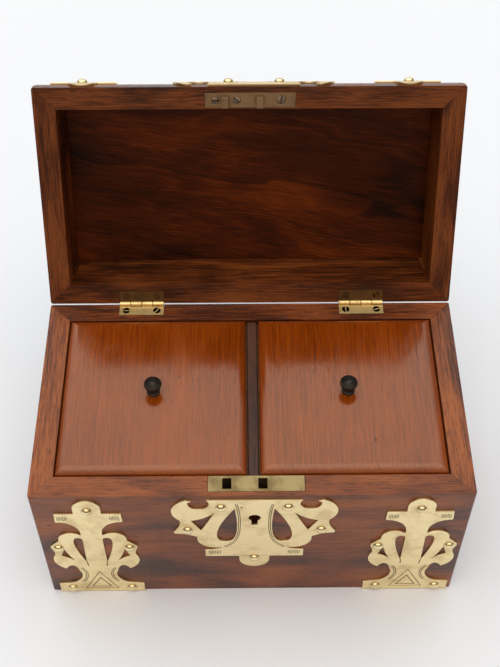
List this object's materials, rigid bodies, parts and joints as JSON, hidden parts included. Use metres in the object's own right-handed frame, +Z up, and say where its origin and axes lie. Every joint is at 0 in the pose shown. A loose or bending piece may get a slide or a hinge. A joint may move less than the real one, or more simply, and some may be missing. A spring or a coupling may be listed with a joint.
{
  "type": "tea caddy",
  "caption": "Wooden tea caddy with a barrel-topped hinged lid, lift-out compartment lids with turned knobs, a sliding-bolt lock and pierced brass mounts.",
  "frame": {"origin": "middle of the underside, on the surface that the caddy stands on", "axes": "+Z up; the keyhole side faces -Y; +X is to the right seen from the front; the lid stands open at rest"},
  "size_m": [0.23, 0.2171, 0.2235],
  "materials": {
    "walnut_case": "French-polished figured walnut with dark streaks",
    "walnut_lid": "French-polished figured walnut with dark streaks",
    "walnut_lid_inside": "polished dark figured walnut",
    "mahogany_tea_lid": "glossy French-polished straight-grained mahogany",
    "plain_wood": "unpolished secondary timber",
    "baize": "green wool baize",
    "lead_foil": "dull crinkled metal foil",
    "ebony": "turned and polished ebony",
    "polished_brass": "polished brass with tarnish in the engraved lines",
    "dull_brass": "aged unpolished brass",
    "steel": "plain steel with a little oxide"
  },
  "bodies": {
    "carcase": {"front_wall": "walnut_case", "back_wall": "walnut_case", "left_wall": "walnut_case", "right_wall": "walnut_case", "divider": "walnut_case", "base_board": "plain_wood", "base_baize": "baize", "left_lining": "plain_wood", "right_lining": "plain_wood", "left_foil": "lead_foil", "right_foil": "lead_foil", "left_hinge_lower_leaf": "dull_brass", "left_hinge_pin": "steel", "left_hinge_lower_screw_outer": "dull_brass", "left_hinge_lower_screw_inner": "dull_brass", "right_hinge_lower_leaf": "dull_brass", "right_hinge_pin": "steel", "right_hinge_lower_screw_outer": "dull_brass", "right_hinge_lower_screw_inner": "dull_brass", "lock_face_plate": "polished_brass", "lock_case": "dull_brass", "lock_bolt_spring": "steel", "lock_drill_pin": "steel", "lock_screw_left": "dull_brass", "lock_screw_right": "dull_brass", "body_centre_mount": "polished_brass", "body_left_mount": "polished_brass", "body_right_mount": "polished_brass"},
    "lid": {"lid_front_rail": "walnut_lid", "lid_back_rail": "walnut_lid", "lid_left_end": "walnut_lid", "lid_right_end": "walnut_lid", "lid_crown": "walnut_lid", "lid_ceiling": "walnut_lid_inside", "left_hinge_upper_leaf": "dull_brass", "left_hinge_upper_screw_outer": "dull_brass", "left_hinge_upper_screw_inner": "dull_brass", "right_hinge_upper_leaf": "dull_brass", "right_hinge_upper_screw_outer": "dull_brass", "right_hinge_upper_screw_inner": "dull_brass", "link_plate": "dull_brass", "link_plate_screw_1": "dull_brass", "link_plate_screw_2": "dull_brass", "link_plate_screw_3": "dull_brass", "lid_centre_mount": "polished_brass", "lid_left_mount": "polished_brass", "lid_right_mount": "polished_brass"},
    "left_inner_lid": {"left_tea_lid": "mahogany_tea_lid", "left_tea_lid_plug": "plain_wood", "left_knob": "ebony"},
    "right_inner_lid": {"right_tea_lid": "mahogany_tea_lid", "right_tea_lid_plug": "plain_wood", "right_knob": "ebony"},
    "bolt": {"lock_bolt": "steel"}
  },
  "joints": [
    {"name": "lid_hinge", "type": "hinge", "parent": "carcase", "child": "lid", "pos_m": [0, 0.06405, 0.10515], "axis": [1, 0, 0], "range_deg": [0, 113]},
    {"name": "left_tea_lid_lift", "type": "slide", "parent": "carcase", "child": "left_inner_lid", "axis": [0, 0, 1], "range_m": [0, 0.08]},
    {"name": "right_tea_lid_lift", "type": "slide", "parent": "carcase", "child": "right_inner_lid", "axis": [0, 0, 1], "range_m": [0, 0.08]},
    {"name": "lock_bolt_slide", "type": "slide", "parent": "carcase", "child": "bolt", "axis": [-1, 0, 0], "range_m": [0, 0.005]}
  ]
}
